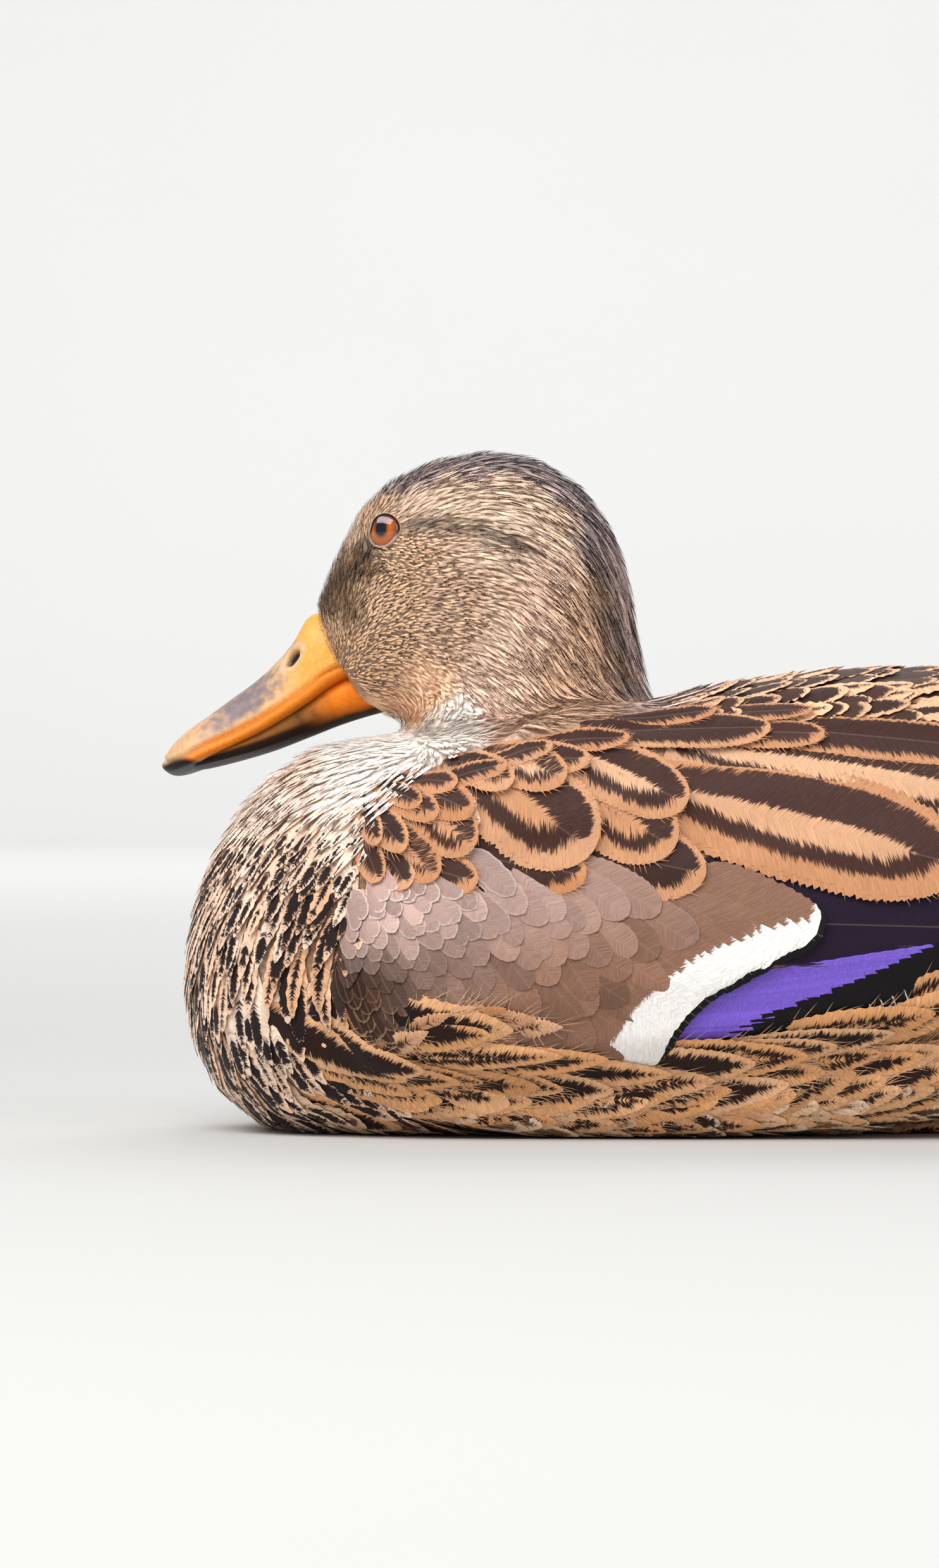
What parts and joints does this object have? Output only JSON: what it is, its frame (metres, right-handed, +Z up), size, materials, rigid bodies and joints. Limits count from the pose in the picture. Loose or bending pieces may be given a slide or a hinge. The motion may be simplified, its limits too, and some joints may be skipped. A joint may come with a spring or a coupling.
{
  "type": "female mallard duck model",
  "caption": "Life-size resting female mallard on its belly with folded wings, raised head turned aside and webbed feet tucked under.",
  "frame": {"origin": "middle of the bounding box's bottom, on the floor under the belly", "axes": "+Z up; +X from the bill to the tail along the body; +Y to the bird's right"},
  "size_m": [0.34, 0.1386, 0.1678],
  "materials": {
    "plumage": "brown and buff body feathers",
    "face": "fine streaked buff face and neck feathers",
    "wing": "taupe wing coverts with pale fringes",
    "flight": "dark smooth flight feathers",
    "bill": "satin orange horn with a dusky saddle",
    "eye": "wet dark amber brown",
    "foot": "scaled orange skin"
  },
  "bodies": {
    "root": {"head": "face", "upper_bill": "bill", "lower_bill": "bill", "neck": "face", "trunk": "plumage", "tail": "plumage", "eye_left": "eye", "wing_left": "wing", "scapulars_left": "plumage", "flank_left": "plumage", "leg_left": "foot", "primaries_left": "flight", "eye_right": "eye", "wing_right": "wing", "scapulars_right": "plumage", "flank_right": "plumage", "leg_right": "foot", "primaries_right": "flight"}
  },
  "joints": []
}
